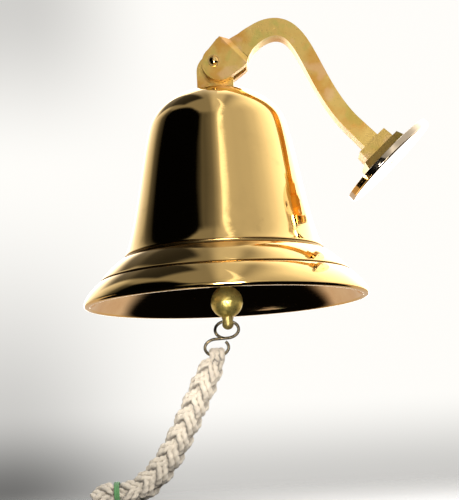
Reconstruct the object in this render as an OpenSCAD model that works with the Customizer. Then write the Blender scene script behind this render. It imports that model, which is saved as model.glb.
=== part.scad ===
// Ship's bell on a swan-neck wall bracket, with a clapper and a plaited lanyard.
// Millimetres, +Z up. The origin is the middle of the wall plate's back face, and the
// bell hangs plumb. The bracket is folded up by fold_deg from where a wall would hold it.

/* [Bell] */
// Diameter across the mouth
mouth_d = 200; // [185:1:240]
// Height from the crown to the lip
bell_h = 153; // [140:1:185]
// Diameter where the shoulder turns into the body
shoulder_d = 97.6; // [85:0.2:110]
// Depth of the shoulder below the crown
shoulder_h = 26; // [20:1:32]
// Diameter at the waist groove
waist_d = 140; // [125:1:160]
// Height of the flared part below the waist groove
flare_h = 35.5; // [30:0.5:42]
// Thickness of the shell
wall = 3.6; // [2.5:0.1:5]
// Thickness of the lip
lip_t = 5; // [4:0.1:8]
// Depth of the turned grooves
groove = 1.2; // [0.6:0.1:2]

/* [Crown lug] */
// Width of the lug
lug_w = 26; // [20:1:30]
// Thickness of the lug
lug_t = 8.8; // [7:0.2:12]
// Height of the pivot above the crown
pivot_h = 19.8; // [17:0.2:26]
// Depth of the middle of the lug's round top below the pivot
lug_drop = 6; // [3:0.5:8]
// Diameter of the eyebolt that holds the lug to the crown
bolt_d = 6; // [5:0.5:6.5]

/* [Clevis] */
// Width of an ear at its top edge
ear_w = 28; // [24:1:34]
// Radius of an ear's round end
ear_r = 12.9; // [11:0.1:14]
// Thickness of an ear
ear_t = 6.5; // [4:0.5:9]
// How far the ears' middle stands off the pivot, towards the wall
ear_offset = 4; // [0:0.5:5]
// Height of an ear's top edge above the pivot
ear_top = 15.4; // [14:0.2:20]
// Gap each side between the lug and an ear
side_gap = 0.2; // [0.1:0.05:0.6]
// Diameter of the pivot pin
pin_d = 5; // [4:0.5:6]
// Diameter of the pin's domed heads
head_d = 6.6; // [6.2:0.2:9]
// Diameter of the washers under the heads
washer_d = 8.4; // [8:0.2:12]
// Thickness of the washers
washer_t = 0.8; // [0.5:0.1:1.5]

/* [Arm] */
// Distance from the wall to the pivot pin
reach = 140.5; // [125:1:165]
// Height of the arm's wall end above the pivot
arm_rise = 37.3; // [30:1:45]
// Height of the swan neck's crest above the pivot
crest = 54; // [48:1:64]
// Depth of the arm's middle stretch, across its bend
arm_w = 12; // [10:0.5:14]
// Thickness of the arm, along the pin
arm_t = 16; // [12:0.5:18]
// Angle by which the bracket is folded up
fold_deg = 48; // [0:1:55]

/* [Base] */
// Diameter of the wall plate
plate_d = 76; // [72:1:90]
// Thickness of the wall plate
plate_t = 5; // [3:0.5:8]
// Width and height of the boss's small step
step1 = [24, 8.3]; // [20:0.5:26]
// Width and height of the boss's large step
step2 = [31.5, 7]; // [28:0.5:34]
// Diameter of the circle of wall screws
screw_pcd = 60; // [58:0.5:64]
// Diameter of a wall screw's hole
screw_d = 5.2; // [4:0.2:6]
// Diameter of the screw that holds the arm to the base
arm_screw_d = 6; // [4:0.5:8]

/* [Clapper] */
// Diameter of the ball
ball_d = 23; // [18:0.5:28]
// Depth of the ball's middle below the pivot
ball_at = 172; // [160:1:185]
// Diameter of the rod at the ball
rod_d = 8.4; // [7:0.2:10]
// Depth of the tail's end below the ball's middle
tail = 19.4; // [17:0.5:26]
// Diameter of the eyes' round section
eye_wire = 4.4; // [3.4:0.2:5]
// Inner diameter of the eyebolt's eye
eye_gap = 8.6; // [8:0.2:12]

/* [Hook and lanyard] */
// Diameter of the hook's wire
hook_wire = 2.1; // [1.6:0.1:2.6]
// Width and height of a hook loop, between wire middles
hook_loop = [16.6, 11.9]; // [11:0.1:20]
// Diameter of the plaited lanyard
lanyard_d = 19; // [14:0.5:20]
// Diameter of the knob at the lanyard's end
knob_d = 20; // [16:0.5:24]

/* [Hidden] */
$fn = 72;

eps = 0.01;
running_gap = 0.05;
loose_gap = 0.4;

// Turns a point [x, z] of the upright bracket into the folded position.
function folded(p) = [p.x * cos(fold_deg) + p.y * sin(fold_deg),
                      -p.x * sin(fold_deg) + p.y * cos(fold_deg)];
wall_point = folded([reach, arm_rise]);

// Points along a cubic Bezier curve, and the unit normal to its right at t.
function bez(c, t) = pow(1 - t, 3) * c[0] + 3 * t * pow(1 - t, 2) * c[1]
                   + 3 * t * t * (1 - t) * c[2] + pow(t, 3) * c[3];
function bez_dir(c, t) = pow(1 - t, 2) * (c[1] - c[0]) + 2 * t * (1 - t) * (c[2] - c[1])
                       + t * t * (c[3] - c[2]);
function unit(v) = v / norm(v);
function right_of(d) = [unit(d).y, -unit(d).x];
function curve(c, n, from = 0) = [for (i = [from:n]) bez(c, i / n)];
function curve_off(c, n, off, from = 0) =
    [for (i = [from:n]) bez(c, i / n) + off * right_of(bez_dir(c, i / n))];
function reversed(l) = [for (i = [len(l) - 1:-1:0]) l[i]];
function arc(at, r, a0, a1, n) = [for (i = [0:n]) at + r * [cos(a0 + (a1 - a0) * i / n),
                                                           sin(a0 + (a1 - a0) * i / n)]];

// Builds in the pivot's frame, where the pin's middle is the origin.
module from_wall() translate([-wall_point.x, 0, -wall_point.y]) children();
module on_bracket() from_wall() rotate([0, fold_deg, 0]) children();
// An outline drawn in x and z, as thick as t along y.
module slab(t) rotate([90, 0, 0]) linear_extrude(t, center = true) children();
module rod_y(d, l) rotate([90, 0, 0]) cylinder(d = d, h = l, center = true);
module rod_x(d, l) rotate([0, 90, 0]) cylinder(d = d, h = l, center = true);
module ring(mid_r, wire_d) rotate_extrude() translate([mid_r, 0]) circle(d = wire_d);

// ---- Bracket ----
plate_bevel = 0.8;
screw_head_h = arm_screw_d / 2;
module wall_plate()
    color("tan") on_bracket() translate([reach - plate_t, 0, arm_rise]) rotate([0, 90, 0])
    difference() {
        union() {
            cylinder(d = plate_d, h = plate_t - plate_bevel);
            translate([0, 0, plate_t - plate_bevel])
                cylinder(d1 = plate_d, d2 = plate_d - 2 * plate_bevel, h = plate_bevel);
        }
        for (a = [0:90:270]) rotate(a) translate([screw_pcd / 2, 0]) {
            translate([0, 0, -eps]) cylinder(d = screw_d, h = plate_t + 2 * eps);
            translate([0, 0, -eps]) cylinder(d1 = 2 * screw_d, d2 = screw_d, h = screw_d / 2);
        }
        translate([0, 0, -eps]) cylinder(d = arm_screw_d, h = plate_t + 2 * eps);
        translate([0, 0, plate_t - screw_head_h])
            cylinder(d1 = arm_screw_d, d2 = 2 * arm_screw_d, h = screw_head_h + eps);
    }

boss_x = reach - plate_t - step1[1] - step2[1];
step_flare = [0.5, 2];
module step(w, h, flare) hull() {
    translate([0, -w / 2, -w / 2]) cube([eps, w, w]);
    translate([h - eps, -w / 2 - flare, -w / 2 - flare]) cube([eps, w + 2 * flare, w + 2 * flare]);
}
module base_boss()
    color("darkgoldenrod") on_bracket() translate([boss_x, 0, arm_rise]) difference() {
        union() {
            step(step1[0], step1[1], step_flare[0]);
            translate([step1[1], 0, 0]) step(step2[0], step2[1], step_flare[1]);
        }
        rod_x(arm_screw_d, 3 * (step1[1] + step2[1]));
    }

cap_h = 4;
foot_z = ear_top + cap_h;
foot_w = 19.5;
neck_w = 14;
// The swan neck's spots keep their share of the reach.
share = reach / 140.5;
neck = [[ear_offset + 1.3, foot_z], [ear_offset + 0.5, crest - 16], [ear_offset + 5, crest + 0.5],
        [26.5 * share, crest]];
back = [neck[3], [44 * share, crest - 0.5], [70 * share, arm_rise + 0.7],
        [boss_x - 20 * share, arm_rise]];
arm_steps = 16;
function neck_half(t) = lookup(t, [[0, foot_w], [0.12, neck_w + 1.6], [0.3, neck_w], [1, arm_w]]) / 2;
function side(s) = [for (i = [0:arm_steps]) let (t = i / arm_steps)
                        bez(neck, t) + s * neck_half(t) * right_of(bez_dir(neck, t))];
module arm_outline() polygon(concat(
    side(-1), curve_off(back, arm_steps, -arm_w / 2, 1), [[boss_x, arm_rise + arm_w / 2 + 0.4]],
    [[boss_x, arm_rise - arm_w / 2 - 0.4]], reversed(curve_off(back, arm_steps, arm_w / 2, 1)),
    reversed(side(1))));

clevis_t = 2 * ear_t + lug_t + 2 * side_gap;
slot_root = ear_top - 1.2;
ear_mid = [ear_offset, 2];
ear_edge = 12;
module ear_outline() polygon(concat(
    [[ear_offset + ear_w / 2, ear_top], [ear_offset + ear_w / 2, ear_edge]],
    arc(ear_mid, ear_r, 5, -185, 24),
    [[ear_offset - ear_w / 2, ear_edge], [ear_offset - ear_w / 2, ear_top]]));

arm_screw_bite = 12;
module bracket_arm()
    color("goldenrod") on_bracket() difference() {
        union() {
            slab(arm_t) arm_outline();
            slab(clevis_t) ear_outline();
            hull() {
                translate([ear_offset - ear_w / 2, -clevis_t / 2, ear_top]) cube([ear_w, clevis_t, eps]);
                translate([neck[0].x - foot_w / 2, -arm_t / 2, foot_z]) cube([foot_w, arm_t, eps]);
            }
        }
        translate([-50, -lug_t / 2 - side_gap, slot_root - 60]) cube([100, lug_t + 2 * side_gap, 60]);
        rod_y(pin_d + 2 * running_gap, clevis_t + 2);
        translate([boss_x - arm_screw_bite / 2, 0, arm_rise])
            rod_x(arm_screw_d, arm_screw_bite + eps);
    }

module arm_screw()
    color("gold") on_bracket() translate([boss_x - arm_screw_bite, 0, arm_rise]) rotate([0, 90, 0]) {
        cylinder(d = arm_screw_d, h = reach - boss_x + arm_screw_bite - screw_head_h);
        translate([0, 0, reach - boss_x + arm_screw_bite - screw_head_h])
            cylinder(d1 = arm_screw_d, d2 = 2 * arm_screw_d, h = screw_head_h);
    }

// ---- Pivot ----
head_h = 2;
head_face = clevis_t / 2 + washer_t;
head_sphere = (pow(head_d / 2, 2) + head_h * head_h) / (2 * head_h);
module dome() intersection() {
    translate([0, 0, head_h - head_sphere]) sphere(head_sphere);
    cylinder(d = head_d + 1, h = head_h + 1);
}
module pivot_pin()
    color("khaki") from_wall() {
        rod_y(pin_d, 2 * head_face);
        for (s = [90, -90]) rotate([s, 0, 0]) translate([0, 0, head_face]) dome();
    }
module pin_washers()
    color("gold") from_wall() for (s = [-1, 1])
        translate([0, s * (clevis_t + washer_t) / 2, 0]) difference() {
            rod_y(washer_d, washer_t);
            rod_y(pin_d + 2 * running_gap, washer_t + 1);
        }

// ---- Bell ----
// Outer outline from the crown to the lip, with r across and z down from the crown.
waist_z = -(bell_h - flare_h);
crown_flat = 14;
shoulder = [[crown_flat, 0], [crown_flat + 8, 0], [shoulder_d / 2 - 4.8, -shoulder_h / 3],
            [shoulder_d / 2, -shoulder_h]];
body = [shoulder[3], [shoulder_d / 2 + 6.4, -shoulder_h - 22],
        [waist_d / 2 - 8.5, waist_z + 14.5], [waist_d / 2, waist_z]];
groove_h = 2.2;
// The band, flare and throat widen with the mouth and deepen with the flare's height.
wider = (mouth_d - waist_d) / 60;
deeper = flare_h / 35.5;
band_end = [waist_d / 2 + 17.5 * wider, waist_z - 17 * deeper];
band = [[waist_d / 2 + 0.8, waist_z - groove_h], [waist_d / 2 + 5.5 * wider, waist_z - 4.3 * deeper],
        [waist_d / 2 + 13 * wider, waist_z - 11.3 * deeper], band_end];
flare = [band_end + [0.6, -groove], [mouth_d / 2 - 7.5 * wider, waist_z - 21.5 * deeper],
         [mouth_d / 2 - 1.7 * wider, -bell_h + 8 * deeper], [mouth_d / 2, -bell_h + 2.5]];
throat = [[waist_d / 2 - wall, waist_z], [waist_d / 2 + 3 * wider, waist_z - 9 * deeper],
          [mouth_d / 2 - 12 * wider, waist_z - 19 * deeper], [mouth_d / 2 - lip_t, -bell_h + 1]];
shell_steps = 14;
module shell_outline() polygon(concat(
    [[0, 0]], curve(shoulder, shell_steps), curve(body, shell_steps, 1),
    [[waist_d / 2 - groove, waist_z - 0.3], [waist_d / 2 - groove, waist_z - groove_h + 0.3]],
    curve(band, shell_steps / 2), [band_end - [groove, groove / 2]], curve(flare, shell_steps),
    [[mouth_d / 2 - 0.6, -bell_h + 0.6], [mouth_d / 2 - 2, -bell_h],
     [mouth_d / 2 - lip_t + 1, -bell_h]],
    reversed(curve(throat, shell_steps, 1)), reversed(curve_off(body, shell_steps, wall)),
    reversed(curve_off(shoulder, shell_steps, wall)), [[0, -wall]]));
module in_bell() from_wall() translate([0, 0, -pivot_h]) children();
module bell_shell()
    color("gold") in_bell() difference() {
        rotate_extrude($fn = 180) shell_outline();
        translate([0, 0, -wall - 1]) cylinder(d = bolt_d + 2 * running_gap, h = wall + 2);
    }

lug_bite = 8.5;
module lug_outline() {
    translate([0, -lug_drop]) circle(d = lug_w);
    translate([-lug_w / 2, -pivot_h]) square([lug_w, pivot_h - lug_drop]);
}
module crown_lug()
    color("burlywood") from_wall() difference() {
        slab(lug_t) lug_outline();
        rod_y(pin_d + 2 * running_gap, lug_t + 2);
        translate([0, 0, -pivot_h - 1]) cylinder(d = bolt_d, h = lug_bite + 1);
    }

crown_washer_t = 1.2;
nut_h = 5;
nut_af = 10;
washer_bottom = -wall - crown_washer_t;
nut_bottom = washer_bottom - nut_h;
eye_r = (eye_gap + eye_wire) / 2;
eye_at = nut_bottom - 1.5 - eye_r - eye_wire / 2;
module clapper_eyebolt()
    color("peru") in_bell() {
        translate([0, 0, eye_at + eye_r]) cylinder(d = bolt_d, h = lug_bite - eye_at - eye_r);
        translate([0, 0, eye_at]) rotate([0, 90, 0]) ring(eye_r, eye_wire);
    }
module crown_washer()
    color("sienna") in_bell() translate([0, 0, washer_bottom]) difference() {
        cylinder(d = 3 * bolt_d, h = crown_washer_t);
        translate([0, 0, -1]) cylinder(d = bolt_d + 2 * running_gap, h = crown_washer_t + 2);
    }
module crown_nut()
    color("khaki") in_bell() translate([0, 0, nut_bottom]) difference() {
        cylinder(d = nut_af / cos(30), h = nut_h, $fn = 6);
        translate([0, 0, -1]) cylinder(d = bolt_d + 2 * running_gap, h = nut_h + 2);
    }

// ---- Clapper ----
clapper_pivot = -pivot_h + eye_at - eye_r;
rod_eye_t = 3;
rod_eye_rim = 3.4;
rod_eye_hole_r = eye_wire / 2 + loose_gap;
rod_l = ball_at + clapper_pivot - rod_eye_hole_r - rod_eye_rim / 2;
hole_above_end = 5.9;
hook_hole_d = 4.8;
tail_end = -ball_at - tail;
hook_pin = tail_end + hole_above_end;
module clapper_rod()
    color("darkkhaki") from_wall() difference() {
        union() {
            translate([0, 0, clapper_pivot]) rod_y(2 * (rod_eye_hole_r + rod_eye_rim), rod_eye_t);
            translate([0, 0, -ball_at]) cylinder(d1 = rod_d, d2 = 0.8 * rod_d, h = rod_l);
            translate([0, 0, tail_end + rod_d / 2]) {
                cylinder(d = rod_d, h = tail - rod_d / 2);
                sphere(d = rod_d);
            }
        }
        translate([0, 0, clapper_pivot]) rod_y(2 * rod_eye_hole_r, rod_d + 2);
        translate([0, 0, hook_pin]) rod_x(hook_hole_d, rod_d + 2);
    }
module clapper_ball()
    color("gold") from_wall() difference() {
        translate([0, 0, -ball_at]) sphere(d = ball_d);
        translate([0, 0, tail_end]) cylinder(d = rod_d, h = tail);
        translate([0, 0, -ball_at]) cylinder(d1 = rod_d, d2 = 0.8 * rod_d, h = rod_l);
    }

// ---- Hook ----
// One wire: the lower loop from its free end, the bar between the loops, the upper loop.
loop_half = hook_loop / 2;
upper_mid = [-1, hook_pin + 0.2 - loop_half.y];
lower_mid = upper_mid - [7.6, hook_loop.y + 0.3];
function oval(mid, a) = mid + [loop_half.x * cos(a), loop_half.y * sin(a)];
// The upper loop's end passes behind the bar, clear of it.
function behind(a) = (hook_wire + loose_gap) * lookup(a, [[120, 0], [150, 0.2], [180, 0.75], [205, 1]]);
hook_path = concat([for (a = [40:-12.4:-270]) let (p = oval(lower_mid, a)) [p.x, 0, p.y]],
                   [for (a = [-90:12.2:263]) let (p = oval(upper_mid, a)) [p.x, behind(a), p.y]]);
hook_sides = 12;

// A round tube swept along points [x, y, z] whose route stays in a plane across y.
function along(p, i) = unit(p[min(i + 1, len(p) - 1)] - p[max(i - 1, 0)]);
function tube_ring(p, i, r, n) = let (d = along(p, i), b = unit(cross(d, [0, 1, 0])))
    [for (k = [0:n - 1]) p[i] + r * (cos(360 * k / n) * b + sin(360 * k / n) * [0, 1, 0])];
module tube(p, r, n) polyhedron(
    [for (i = [0:len(p) - 1]) each tube_ring(p, i, r, n)],
    concat([[for (k = [0:n - 1]) k]],
           [for (i = [0:len(p) - 2], k = [0:n - 1])
               [i * n + k, (i + 1) * n + k, (i + 1) * n + (k + 1) % n, i * n + (k + 1) % n]],
           [[for (k = [n - 1:-1:0]) (len(p) - 1) * n + k]]));
module s_hook()
    color("dimgray") from_wall() tube(hook_path, hook_wire / 2, hook_sides);

// ---- Lanyard ----
// The route hangs stiffly from the lowest point of the hook and ends along the surface below.
wire_bottom = [lower_mid.x, 0, lower_mid.y - loop_half.y];
hang = [[-3.4, -6.6], [-6.4, -11.6], [-10.4, -19.6], [-14.9, -28.6], [-19.4, -37.6], [-23.9, -46.6],
        [-28.9, -55.6], [-33.9, -64.1], [-39.4, -72.1], [-45.4, -79.1], [-51.9, -85.1],
        [-58.9, -89.6], [-65.4, -91.8], [-71.4, -92.4]];
lanyard_route = [for (p = hang) wire_bottom + [p.x, 0, p.y]];
lanyard_sides = 12;
lanyard_end = lanyard_route[len(lanyard_route) - 1];
lanyard_top = lanyard_route[0];
lanyard_eye_l = 9;
lanyard_eye_d = 11;
band_l = 3.6;
knob_l = 17;

// The hole clears the wire where it rises on each side of the loop's lowest point.
eye_slack = 0.6;
wire_rise = loop_half.y * (1 - sqrt(1 - pow(min(lanyard_eye_l / 2 / loop_half.x, 0.95), 2)));
eye_neck = [lanyard_eye_l, lanyard_eye_d - 4, 1.2];
top_dir = unit(lanyard_route[1] - lanyard_top);
module below_top() translate(lanyard_top) rotate([0, atan2(top_dir.x, top_dir.z), 0])
    translate([-lanyard_d, -lanyard_d, 0]) cube(2 * lanyard_d);
module lanyard_eye()
    color("wheat") from_wall() difference() {
        union() {
            translate(wire_bottom) rod_x(lanyard_eye_d, lanyard_eye_l);
            hull() {
                translate(wire_bottom - [0, 0, lanyard_eye_d / 2 - 1.2]) cube(eye_neck, center = true);
                tube([lanyard_top - 1.2 * top_dir, lanyard_top], lanyard_d / 2 - 1, lanyard_sides);
            }
        }
        translate(wire_bottom + [0, 0, wire_rise / 2])
            rod_x(hook_wire + wire_rise + 2 * eye_slack, 4 * lanyard_eye_l);
        below_top();
    }
module lanyard()
    color("antiquewhite") from_wall() tube(lanyard_route, lanyard_d / 2, lanyard_sides);
// Shapes turned about the line of the lanyard's last stretch, from its end outwards.
end_dir = unit(lanyard_end - lanyard_route[len(lanyard_route) - 2]);
module on_end() from_wall() translate(lanyard_end)
    rotate([0, -90 + asin(end_dir.z), 0]) children();
module lanyard_band()
    color("seagreen") on_end() cylinder(d = lanyard_d + 0.4, h = band_l);
knob_round = 6;
module lanyard_knob()
    color("wheat") on_end() translate([0, 0, band_l]) rotate_extrude() polygon(concat(
        [[0, 0]], arc([knob_d / 2 - knob_round / 2, knob_round / 2], knob_round / 2, -90, 0, 4),
        arc([knob_d / 2 - knob_round, knob_l - knob_round], knob_round, 0, 90, 8), [[0, knob_l]]));

wall_plate();
base_boss();
bracket_arm();
arm_screw();
pivot_pin();
pin_washers();
bell_shell();
crown_lug();
clapper_eyebolt();
crown_washer();
crown_nut();
clapper_rod();
clapper_ball();
s_hook();
lanyard_eye();
lanyard();
lanyard_band();
lanyard_knob();
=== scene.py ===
"""A ship's bell on a swan-neck wall bracket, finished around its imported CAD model."""

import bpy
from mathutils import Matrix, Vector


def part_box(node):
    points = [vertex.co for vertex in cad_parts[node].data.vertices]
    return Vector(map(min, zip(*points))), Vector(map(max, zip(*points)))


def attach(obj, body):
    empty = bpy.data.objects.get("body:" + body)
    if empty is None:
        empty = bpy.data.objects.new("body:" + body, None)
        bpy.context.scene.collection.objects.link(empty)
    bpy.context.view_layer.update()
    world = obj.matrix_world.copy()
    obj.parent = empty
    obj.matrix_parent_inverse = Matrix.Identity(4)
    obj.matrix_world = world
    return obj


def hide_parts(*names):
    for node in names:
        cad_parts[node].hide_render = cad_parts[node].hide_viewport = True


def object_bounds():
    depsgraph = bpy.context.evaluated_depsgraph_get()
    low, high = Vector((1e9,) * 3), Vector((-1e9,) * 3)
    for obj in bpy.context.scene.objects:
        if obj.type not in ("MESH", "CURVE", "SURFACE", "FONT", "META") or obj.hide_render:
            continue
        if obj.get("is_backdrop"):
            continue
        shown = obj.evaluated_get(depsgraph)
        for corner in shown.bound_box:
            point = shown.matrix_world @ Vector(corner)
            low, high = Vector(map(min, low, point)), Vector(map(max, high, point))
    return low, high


bl_info = {
    "name": "Ship's Bell",
    "version": (1, 0, 0),
    "blender": (4, 5, 0),
    "location": "View3D > Sidebar > Ship's Bell",
    "description": "Makes the bell, bracket, clapper, hook and lanyard around the packed CAD model",
    "category": "Object",
}

import math

import bpy
import numpy as np
from bpy.props import FloatProperty, FloatVectorProperty, IntProperty, PointerProperty
from mathutils import Matrix, Vector

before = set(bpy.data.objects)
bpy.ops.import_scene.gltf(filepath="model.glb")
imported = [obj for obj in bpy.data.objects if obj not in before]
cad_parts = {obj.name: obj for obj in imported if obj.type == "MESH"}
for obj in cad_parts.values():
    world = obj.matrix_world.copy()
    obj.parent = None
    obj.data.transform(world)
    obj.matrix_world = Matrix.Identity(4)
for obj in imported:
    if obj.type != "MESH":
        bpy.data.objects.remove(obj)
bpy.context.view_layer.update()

MM = 0.001
WELD = 0.002 * MM


def middle_of(node):
    low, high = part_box(node)
    return (low + high) / 2


PIVOT = middle_of("pivot_pin")
BELL_LOW, BELL_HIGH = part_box("bell_shell")
BALL_LOW, BALL_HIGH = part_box("clapper_ball")


def at(x, y, z):
    """A point given in millimetres from the middle of the pivot pin."""
    return PIVOT + Vector((x, y, z)) * MM


# ---------------------------------------------------------------- shader wiring


class Field:
    """One socket's value, which Python's operators turn into Math nodes."""

    def __init__(self, net, socket):
        self.net = net
        self.socket = socket

    def math(self, operation, *others):
        values = dict(enumerate((self,) + others))
        return self.net.field("ShaderNodeMath", {"operation": operation}, values)

    def __add__(self, other):
        return self.math("ADD", other)

    def __sub__(self, other):
        return self.math("SUBTRACT", other)

    def __mul__(self, other):
        return self.math("MULTIPLY", other)

    def __truediv__(self, other):
        return self.math("DIVIDE", other)

    def __rtruediv__(self, other):
        return self.net.field("ShaderNodeMath", {"operation": "DIVIDE"}, {0: other, 1: self})

    def __rsub__(self, other):
        return self.net.field("ShaderNodeMath", {"operation": "SUBTRACT"}, {0: other, 1: self})

    __radd__ = __add__
    __rmul__ = __mul__

    def rise(self, low, high):
        """0 below low, 1 above high and a smooth step between; high may be the lower of the two."""
        values = {"Value": self, "From Min": min(low, high), "From Max": max(low, high)}
        if high < low:
            values["To Min"] = 1.0
            values["To Max"] = 0.0
        return self.net.field("ShaderNodeMapRange", {"interpolation_type": "SMOOTHSTEP"}, values)

    def hump(self, low, high, feather):
        """1 from low to high, falling to 0 a feather outside them."""
        return self.rise(low - feather, low) * self.rise(high + feather, high)


class Net:
    """A node tree being wired: a material's or the world's."""

    def __init__(self, owner):
        owner.use_nodes = True
        self.tree = owner.node_tree
        self.tree.nodes.clear()

    def node(self, kind, settings=(), values=()):
        made = self.tree.nodes.new(kind)
        for name, value in dict(settings).items():
            if name == "stops":
                self.set_stops(made.color_ramp, value)
            else:
                setattr(made, name, value)
        for key, value in dict(values).items():
            if isinstance(value, Field):
                self.tree.links.new(value.socket, made.inputs[key])
            else:
                made.inputs[key].default_value = value
        return made

    def field(self, kind, settings=(), values=(), output=0):
        return Field(self, self.node(kind, settings, values).outputs[output])

    def set_stops(self, ramp, stops):
        while len(ramp.elements) > 1:
            ramp.elements.remove(ramp.elements[-1])
        for index, (position, grey) in enumerate(stops):
            stop = ramp.elements[0] if index == 0 else ramp.elements.new(position)
            stop.position = position
            stop.color = (grey, grey, grey, 1.0)

    def place(self):
        return self.field("ShaderNodeTexCoord", output="Object")

    def parts(self, vector):
        split = self.node("ShaderNodeSeparateXYZ", (), {0: vector})
        return [Field(self, socket) for socket in split.outputs]

    def vector(self, x, y, z):
        return self.field("ShaderNodeCombineXYZ", (), {0: x, 1: y, 2: z})

    def noise(self, vector, scale, detail=3.0, roughness=0.5):
        values = {"Vector": vector, "Scale": scale, "Detail": detail, "Roughness": roughness}
        return self.field("ShaderNodeTexNoise", (), values)

    def mix(self, amount, under, over):
        settings = {"data_type": "RGBA"}
        values = {"Factor": amount, 6: rgba(under), 7: rgba(over)}
        return self.field("ShaderNodeMix", settings, values, output=2)

    def bump(self, height, distance, strength=1.0, under=None):
        values = {"Height": height, "Distance": distance, "Strength": strength}
        if under is not None:
            values["Normal"] = under
        return self.field("ShaderNodeBump", (), values)

    def surface(self, color, roughness, metallic=1.0, normal=None, fixed=()):
        values = {"Base Color": rgba(color), "Roughness": roughness, "Metallic": metallic}
        if normal is not None:
            values["Normal"] = normal
        values.update(dict(fixed))
        shader = self.field("ShaderNodeBsdfPrincipled", (), values)
        self.node("ShaderNodeOutputMaterial", (), {"Surface": shader})


def rgba(color):
    return color if isinstance(color, Field) else (*tuple(color)[:3], 1.0)


def scaled(color, amount):
    return tuple(channel * amount for channel in tuple(color)[:3])


def new_net(name):
    material = bpy.data.materials.new(name)
    return material, Net(material)


# ---------------------------------------------------------------- finishes

TARNISH = (0.10, 0.055, 0.015)
INSIDE_PALE = (0.98, 0.74, 0.46)
INSIDE_DEEP = (0.86, 0.56, 0.30)
HEAT_ORANGE = (0.80, 0.36, 0.06)
HEAT_GREEN = (0.62, 0.58, 0.14)
HEAT_PINK = (0.98, 0.62, 0.36)
PIT_BROWN = (0.22, 0.13, 0.04)
PLATE_BRASS = (0.90, 0.74, 0.55)
DULL_BRASS, DULL_DARK = (0.46, 0.33, 0.12), (0.16, 0.11, 0.04)
STEM_BRASS, STEM_DARK = (0.42, 0.31, 0.10), (0.14, 0.10, 0.03)
BALL_DARK = (0.42, 0.30, 0.05)
WIRE_DARK, WIRE_WORN = (0.075, 0.058, 0.035), (0.20, 0.15, 0.08)

# Heights between which painted shade darkens the lanyard towards its end.
SHADE_STARTS_Z = PIVOT.z - 0.225
FULL_SHADE_Z = PIVOT.z - 0.30


def polished_brass(name, color, lines=True, grooves=()):
    """Mirror-bright brass with turning lines round the axis and tarnish left in the grooves."""
    material, net = new_net(name)
    place = net.place()
    z = net.parts(place)[2]
    fine = net.noise(net.vector(0.0, 0.0, z), 2600.0, 2.0)
    coarse = net.noise(net.vector(0.0, 0.0, z), 420.0, 3.0)
    cloud = net.noise(place, 22.0, 4.0, 0.6)
    smear = net.noise(place, 90.0, 3.0)
    gold = net.mix(cloud.rise(0.42, 0.72) * 0.45, color, scaled(color, 0.82))
    dirt = smear.rise(0.62, 0.8) * 0.12
    for low, high in grooves:
        dirt = dirt + z.hump(low, high, 0.0006) * 0.7
    gold = net.mix(dirt.math("MINIMUM", 0.8), gold, TARNISH)
    roughness = 0.045 + cloud * 0.05 + dirt * 0.25
    normal = None
    if lines:
        height = fine * 0.35 + coarse * 0.65
        normal = net.bump(height, 0.00006, 0.30)
        normal = net.bump(net.noise(place, 14.0, 2.0), 0.004, 0.10, normal)
    net.surface(gold, roughness, 1.0, normal)
    return material


def inner_brass(name):
    """The inside of the shell: pinkish, smooth, and turned with coarser lines than the outside."""
    material, net = new_net(name)
    place = net.place()
    z = net.parts(place)[2]
    cloud = net.noise(place, 30.0, 5.0, 0.6)
    rings = net.noise(net.vector(0.0, 0.0, z), 700.0, 3.0)
    tone = net.mix(cloud.rise(0.35, 0.75), INSIDE_PALE, INSIDE_DEEP)
    net.surface(tone, 0.05 + cloud * 0.05, 1.0, net.bump(rings, 0.0001, 0.3))
    return material


def satin_brass(name, color, along=(60.0, 260.0, 60.0)):
    """Milled brass: fine lines, a soft sheen, and faint orange, pink and green heat tints."""
    material, net = new_net(name)
    place = net.place()
    x, y, z = net.parts(place)
    lines = net.noise(net.vector(x * along[0], y * along[1], z * along[2]), 22.0, 3.0)
    cloud = net.noise(place, 40.0, 4.0, 0.55)
    drift = net.noise(place, 75.0, 2.0, 0.5)
    pits = net.noise(place, 900.0, 2.0)
    tone = net.mix(cloud.rise(0.45, 0.66) * 0.75, color, HEAT_ORANGE)
    tone = net.mix(drift.rise(0.52, 0.68) * 0.50, tone, HEAT_GREEN)
    tone = net.mix(drift.rise(0.44, 0.30) * 0.45, tone, HEAT_PINK)
    tone = net.mix(pits.rise(0.66, 0.8) * 0.5, tone, PIT_BROWN)
    roughness = 0.20 + lines * 0.12 + cloud * 0.08
    normal = net.bump(lines, 0.00015, 0.35)
    normal = net.bump(cloud, 0.0012, 0.25, normal)
    net.surface(tone, roughness, 1.0, normal)
    return material


def cast_brass(name, color, dark, grain, depth, metallic=1.0):
    """Rough cast or dull brass: pitted, with dark in the pits and bright rubbed tops."""
    material, net = new_net(name)
    place = net.place()
    sand = net.noise(place, grain, 5.0, 0.65)
    cloud = net.noise(place, 160.0, 3.0)
    tone = net.mix(sand.rise(0.46, 0.32), color, dark)
    tone = net.mix(cloud.rise(0.50, 0.72) * 0.35, tone, scaled(color, 0.7))
    normal = net.bump(sand, depth, 0.7)
    net.surface(tone, 0.46 - sand * 0.26, metallic, normal)
    return material


def wire_metal(name, color, worn):
    """Darkened wire: brown-black, worn to a dull shine in places."""
    material, net = new_net(name)
    place = net.place()
    wear = net.noise(place, 420.0, 4.0, 0.6)
    tone = net.mix(wear.rise(0.50, 0.72), color, worn)
    net.surface(tone, 0.36 - wear * 0.2, 1.0, net.bump(wear, 0.0001, 0.3))
    return material


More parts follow.
